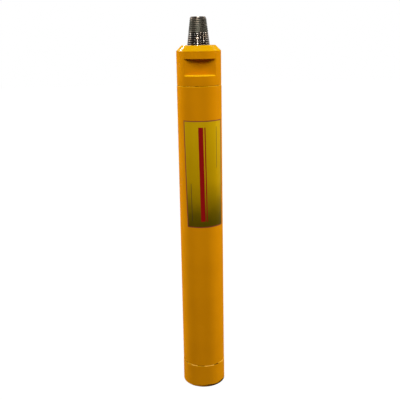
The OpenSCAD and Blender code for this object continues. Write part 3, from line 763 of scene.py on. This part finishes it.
# the darkest and palest gold are a painted reflection, darker low on the label and paler high
GOLD_REFLECTION_DARK, GOLD, GOLD_REFLECTION_PALE = (0.09, 0.062, 0.0005), (0.50, 0.288, 0.001), (0.61, 0.36, 0.002)
RED_INK, DARK_INK, BORDER_INK = (0.30, 0.006, 0.006), (0.05, 0.035, 0.02), (0.24, 0.05, 0.03)
# Boxes on the label's map: start and end across it, then start and end up it
STRIPE_BOXES = ((0.36, 0.47, 0.06, 0.94), (0.50, 0.525, 0.06, 0.94))
RULE_BOXES = ((0.80, 0.812, 0.56, 0.94), (0.14, 0.152, 0.06, 0.42))
INSIDE_BORDER = (0.027, 0.973, 0.009, 0.991)


def stripe(tree, value, low, high, soft):
    """Share that is 1 between two values and falls to 0 over a soft edge."""
    rise = ramp(tree, value, low - soft, low + soft)
    return maths(tree, "MULTIPLY", rise, ramp(tree, value, high - soft, high + soft, 1.0, 0.0))


def box_mask(tree, map_place, box, soft_across, soft_up):
    """Mask of an upright box on the label's map, u across and v up, with soft edges."""
    left, right, low, high = box
    across = stripe(tree, map_place["X"], left, right, soft_across)
    return maths(tree, "MULTIPLY", across, stripe(tree, map_place["Y"], low, high, soft_up))


def make_foil():
    """Gold foil print on the label's own map, u across and v up: the gold is painted darker, to olive,
    towards the lower end and paler towards the top as a painted reflection, with a maroon border, a red
    double stripe and two thin dark rules, and a fine relief."""
    material, tree, shader = new_material("label_foil", Metallic=0.2, Specular_IOR_Level=0.0)
    uv = add(tree, "ShaderNodeTexCoord").outputs["UV"]
    map_place = add(tree, "ShaderNodeSeparateXYZ", {0: uv}).outputs
    uneven = use_group(tree, film, Broad_Scale=18.0, Fine_Scale=380.0)
    # the changes of tone run across the label in a slight wave
    wave_height = 0.05
    wave = maths(tree, "MULTIPLY", maths(tree, "SUBTRACT", uneven["Tone"], 0.5), wave_height)
    along = maths(tree, "ADD", map_place["Y"], wave)
    # painted reflection: the gold runs darker towards the lower end and paler towards the top
    dark_reflection_end, gold_start, gold_full = 0.01, 0.45, 0.51
    gold = blend_colour(tree, ramp(tree, along, dark_reflection_end, gold_full), GOLD_REFLECTION_DARK, GOLD)
    gold = blend_colour(tree, ramp(tree, along, gold_start, 1.0), gold, GOLD_REFLECTION_PALE)
    for boxes, ink in ((STRIPE_BOXES, RED_INK), (RULE_BOXES, DARK_INK)):
        for box in boxes:
            printed = box_mask(tree, map_place, box, soft_across=0.003, soft_up=0.001)
            gold = blend_colour(tree, printed, gold, ink)
    inside = box_mask(tree, map_place, INSIDE_BORDER, soft_across=0.004, soft_up=0.0015)
    tree.links.new(blend_colour(tree, inside, BORDER_INK, gold), shader.inputs["Base Color"])
    lowest_roughness, highest_roughness = 0.3, 0.44
    roughness = ramp(tree, uneven["Fine"], 0.0, 1.0, lowest_roughness, highest_roughness)
    tree.links.new(roughness, shader.inputs["Roughness"])
    bump(tree, shader, uneven["Height"], strength=0.15, depth=0.03 * MM)
    return material


def make_label():
    """Label: a thin shell on the case, at radius case + thickness, between two azimuths that change evenly
    with height because it was stuck on a little askew. Its back lies a hair inside the case, and a rim of
    quads joins it to the front."""
    rows, columns, thickness, sunk = 61, 49, 0.22 * MM, 0.05 * MM
    v = np.linspace(0, 1, rows)[:, None]
    u = np.linspace(0, 1, columns)[None, :]
    left = LABEL_LEFT_BOTTOM + v * (LABEL_LEFT_TOP - LABEL_LEFT_BOTTOM)
    right = LABEL_RIGHT_BOTTOM + v * (LABEL_RIGHT_TOP - LABEL_RIGHT_BOTTOM)
    azimuth = np.radians(left + u * (right - left))
    z = LABEL_LOW + v * (LABEL_HIGH - LABEL_LOW) + 0 * azimuth

    def at(radius):
        return np.stack([radius * np.sin(azimuth), -radius * np.cos(azimuth), z], axis=-1)

    outer, inner = at(case_r + thickness), at(case_r - sunk)
    points = np.concatenate([outer.reshape(-1, 3), inner.reshape(-1, 3)])
    front = band_faces(rows, columns, False, False)
    back = front[:, ::-1] + rows * columns
    ids = np.arange(rows * columns).reshape(rows, columns)
    rim = np.concatenate([ids[0, :-1], ids[:-1, -1], ids[-1, :0:-1], ids[:0:-1, 0]])
    ahead = np.roll(rim, -1)
    sides = np.stack([rim, rim + rows * columns, ahead + rows * columns, ahead], axis=-1)
    faces = np.concatenate([front, back, sides])
    made = piece("foil_label", points, faces, make_foil(), "hammer", "case_paint")
    corner = np.zeros(len(made.data.loops), np.int32)
    made.data.loops.foreach_get("vertex_index", corner)
    flat = np.stack(np.broadcast_arrays(u, v), axis=-1).reshape(-1, 2)
    layer = made.data.uv_layers.new(name="print")
    layer.data.foreach_set("uv", np.concatenate([flat, flat])[corner].ravel())
    return made


make_label()


# Inner pieces

def make_spring():
    """Return spring: a round wire on a helix, whose height rises by one wire a turn over the closed end turns
    and evenly in between; each ring of the wire lies in the plane through the axis."""
    closed, steps_a_turn, sides = 1.0, 40, 12
    steps = spring_turns * steps_a_turn
    turn = np.linspace(0, spring_turns, steps + 1)[:, None]
    # the closed turns lie a hair apart
    rise_closed = wire_d * 1.02
    height = spring_high - spring_low - wire_d
    rise_open = (height - 2 * closed * rise_closed) / (spring_turns - 2 * closed)
    rise = (
        np.minimum(turn, closed) * rise_closed
        + np.clip(turn - closed, 0, spring_turns - 2 * closed) * rise_open
        + np.maximum(turn - spring_turns + closed, 0) * rise_closed
    )
    wire_angle = np.arange(sides)[None, :] * TURN / sides
    r = spring_r - wire_d / 2 + wire_d / 2 * np.cos(wire_angle)
    z = spring_low + wire_d / 2 + rise + wire_d / 2 * np.sin(wire_angle)
    grid = np.stack([r * np.cos(TURN * turn), r * np.sin(TURN * turn), z], axis=-1)
    # each end of the wire is closed by quads that fan out from one of its points
    fan = np.arange(1, sides - 1, 2)
    cap = np.stack([0 * fan, fan, fan + 1, fan + 2], axis=-1)
    faces = np.concatenate([band_faces(steps + 1, sides, False, True), cap[:, ::-1], cap + steps * sides])
    made = piece("return_spring", grid, faces, spring_steel, "hammer", "spring_steel", ["check_valve_spring"])
    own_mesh(made)
    return made


make_spring()

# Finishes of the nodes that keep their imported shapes
finishes = {
    "backhead_o_ring": seal_rubber,
    "check_valve": valve_acetal,
    "check_valve_seal": seal_rubber,
    "makeup_ring": ring_steel,
    "buffer_ring": buffer_rubber,
    "air_distributor": ground_steel,
    "distributor_o_rings": seal_rubber,
    "choke_plug": choke_brass,
    "choke_o_ring": seal_rubber,
    "inner_cylinder": ground_steel,
    "cylinder_stop_ring": ring_steel,
    "piston": piston_steel,
    "piston_retainer": ring_steel,
    "guide_bush": ground_steel,
    "guide_bush_o_ring": seal_rubber,
    "bit_retaining_half_left": ring_steel,
    "bit_retaining_half_right": ring_steel,
    "bit_retaining_o_ring": seal_rubber,
}
for node_name, finish in finishes.items():
    for material_slot in frame["nodes"][node_name].material_slots:
        material_slot.material = finish


# Floor, light and camera

def make_floor():
    """Floor that throws little light back at the hammer and keeps a faint shadow. To the camera and in
    reflections it is white by a glow of its own, which is a little weaker at the hammer's foot."""
    half, side_points, below = 12.0, 9, 0.2 * MM
    line = np.linspace(-half, half, side_points)
    x, y = np.meshgrid(line, line)
    grid = np.stack([x, y, 0 * x - below], axis=-1)
    mesh = bpy.data.meshes.new("floor")
    mesh.from_pydata(grid.reshape(-1, 3), [], band_faces(side_points, side_points, False, False))
    material, tree, shader = new_material("floor_white", Roughness=0.9, Specular_IOR_Level=0.0)
    dark_grey, white = (0.05, 0.05, 0.05, 1), (1, 1, 1, 1)
    shader.inputs["Base Color"].default_value = dark_grey
    shader.inputs["Emission Color"].default_value = white
    place, _ = object_place(tree)
    far = add(tree, "ShaderNodeVectorMath", {0: place}, operation="LENGTH").outputs["Value"]
    path = add(tree, "ShaderNodeLightPath").outputs
    seen = maths(tree, "MAXIMUM", path["Is Camera Ray"], path["Is Transmission Ray"])
    seen = maths(tree, "MAXIMUM", seen, path["Is Glossy Ray"])
    foot_end, full_start, foot_glow = 0.2, 2.2, 0.95
    glow = maths(tree, "MULTIPLY", seen, ramp(tree, far, foot_end, full_start, foot_glow, 1.0))
    tree.links.new(glow, shader.inputs["Emission Strength"])
    mesh.materials.append(material)
    made = bpy.data.objects.new("floor", mesh)
    bpy.context.scene.collection.objects.link(made)


def make_world():
    """Surround: plain white to the camera, and to reflections a studio that is bright behind the hammer and
    dim on the side that the photograph is taken from. It lights the surfaces with a share of that."""
    front_end, back_start, dim, bright, fill_share = -0.4, 0.5, 0.06, 0.7, 0.3
    world = bpy.data.worlds.new("studio")
    bpy.context.scene.world = world
    world.use_nodes = True
    tree = world.node_tree
    background = tree.nodes["Background"]
    path = add(tree, "ShaderNodeLightPath").outputs
    heading = add(tree, "ShaderNodeTexCoord").outputs["Generated"]
    direction = add(tree, "ShaderNodeSeparateXYZ", {0: heading}).outputs
    studio = ramp(tree, direction["Y"], front_end, back_start, dim, bright)
    fill = maths(tree, "MULTIPLY", studio, fill_share)
    level = add(tree, "ShaderNodeMix", {0: path["Is Glossy Ray"], 2: fill, 3: studio}).outputs[0]
    seen = maths(tree, "MAXIMUM", path["Is Camera Ray"], path["Is Transmission Ray"])
    level = add(tree, "ShaderNodeMix", {0: seen, 2: level, 3: 1.0}).outputs[0]
    background.inputs["Color"].default_value = (1, 1, 1, 1)
    tree.links.new(level, background.inputs["Strength"])


def make_softbox(name, place, aim, width, height, watts, mirrored=True, only_on=None):
    """Area light that faces its aim and isn't seen by the camera itself. It is seen in reflections where it
    is mirrored. One that makes a bright line lights one piece only, and nothing but its gloss."""
    data = bpy.data.lights.new(name, "AREA")
    data.shape = "RECTANGLE"
    data.size, data.size_y, data.energy = width, height, watts
    lamp = bpy.data.objects.new(name, data)
    lamp.location = place
    lamp.rotation_mode = "QUATERNION"
    lamp.rotation_quaternion = (Vector(aim) - Vector(place)).to_track_quat("-Z", "Y")
    lamp.visible_camera = False
    lamp.visible_glossy = mirrored
    if only_on:
        lamp.visible_diffuse = False
        lit = bpy.data.collections.new(name + "_lit")
        lit.objects.link(only_on)
        lamp.light_linking.receiver_collection = lit
    bpy.context.scene.collection.objects.link(lamp)


def around(azimuth, distance, height):
    """Place at an azimuth and a distance from the axis."""
    a = math.radians(azimuth)
    return (distance * math.sin(a), -distance * math.cos(a), height)


# Large softboxes: name, place, aim, width, height, watts, and whether gloss mirrors them
MIDDLE = (0, 0, 0.55)
SOFTBOXES = (
    ("left_softbox", around(-126, 1.9, 0.5), MIDDLE, 0.6, 2.0, 57, False),
    ("right_softbox", around(100, 1.9, 0.5), MIDDLE, 0.6, 2.0, 46, False),
    ("top_softbox", (0, 0.2, 4.6), (0, 0, 0.5), 2.4, 2.4, 84, False),
    ("key_softbox", (-0.59, -4.22, 5.46), MIDDLE, 3.2, 4.4, 412, True),
)
# Small square lights that stand in the gloss of the cone and of the pin's bevel: name, direction, watts
GLOSS_DISTANCE, GLOSS_SIDE = 2.0, 0.3
CONE_LIGHTS = (
    ("left_cone_light", (-0.460, 0.690, 0.560), 125),
    ("right_cone_light", (0.554, 0.543, 0.630), 6),
)
BEVEL_LIGHTS = (
    ("left_bevel_light", (-0.700, 0.430, 0.570), 2),
    ("right_bevel_light", (0.654, 0.501, 0.567), 4),
)
# Strip lights that stand in the pin's gloss as bright lines: azimuth, width, watts
STRIP_DISTANCE, STRIP_LEVEL, STRIP_HEIGHT = 2.4, 1.55, 0.2
PIN_STRIPS = (
    (-106, 0.5, 2.0),
    (-43, 0.06, 0.35),
    (-13, 0.08, 2.8),
    (21, 0.05, 0.6),
    (56, 0.06, 0.7),
    (90, 0.12, 1.0),
)


def make_gloss_lights(lights, aim, only_on):
    """Small lights, each in a direction from the aim, for bright lines in the gloss of one piece."""
    for name, direction, watts in lights:
        place = Vector(direction) * GLOSS_DISTANCE + Vector(aim)
        make_softbox(name, place, aim, GLOSS_SIDE, GLOSS_SIDE, watts, only_on=only_on)


def make_lights():
    """Two tall softboxes a little behind the sides, a broad one above, a key light in front, and small lights
    for the bright lines on the cone and on the pin."""
    cone_aim, bevel_aim, strip_aim = (0, 0, 1.0), (0, 0, pin_top), (0, 0, 1.05)
    for softbox in SOFTBOXES:
        make_softbox(*softbox)
    make_gloss_lights(CONE_LIGHTS, cone_aim, backhead_body)
    make_gloss_lights(BEVEL_LIGHTS, bevel_aim, backhead_pin)
    for number, (azimuth, width, watts) in enumerate(PIN_STRIPS):
        strip = around(azimuth, STRIP_DISTANCE, STRIP_LEVEL)
        name = f"pin_strip_{number}"
        make_softbox(name, strip, strip_aim, width, STRIP_HEIGHT, watts, only_on=backhead_pin)


# The photograph's camera, fitted to the outline of the hammer
CAMERA_AZIMUTH = -3.55
CAMERA_DISTANCE, CAMERA_HEIGHT = 1.80986, 1.04554
CAMERA_HEADING, CAMERA_PITCH, CAMERA_ROLL = 3.44, 14.59, 1.032
IMAGE_SIDE, FOCAL_PIXELS, SENSOR = 400, 639.28, 36.0


def make_camera():
    """Camera whose axes come from its heading, its pitch below the horizon and its roll about the line of
    sight."""
    heading, pitch, roll = (math.radians(v) for v in (CAMERA_HEADING, CAMERA_PITCH, CAMERA_ROLL))
    ahead = math.cos(pitch)
    forward = Vector((math.sin(heading) * ahead, math.cos(heading) * ahead, -math.sin(pitch)))
    level_right = Vector((math.cos(heading), -math.sin(heading), 0))
    level_down = forward.cross(level_right)
    right = level_right * math.cos(roll) + level_down * math.sin(roll)
    down = level_down * math.cos(roll) - level_right * math.sin(roll)
    data = bpy.data.cameras.new("camera")
    data.sensor_width = SENSOR
    data.lens = SENSOR * FOCAL_PIXELS / IMAGE_SIDE
    camera = bpy.data.objects.new("camera", data)
    axes = Matrix((right, -down, -forward)).transposed().to_4x4()
    place = around(CAMERA_AZIMUTH, CAMERA_DISTANCE, CAMERA_HEIGHT)
    camera.matrix_world = Matrix.Translation(place) @ axes
    bpy.context.scene.collection.objects.link(camera)
    bpy.context.scene.camera = camera


make_floor()
make_world()
make_lights()
make_camera()
bpy.context.scene.view_settings.view_transform = "Standard"
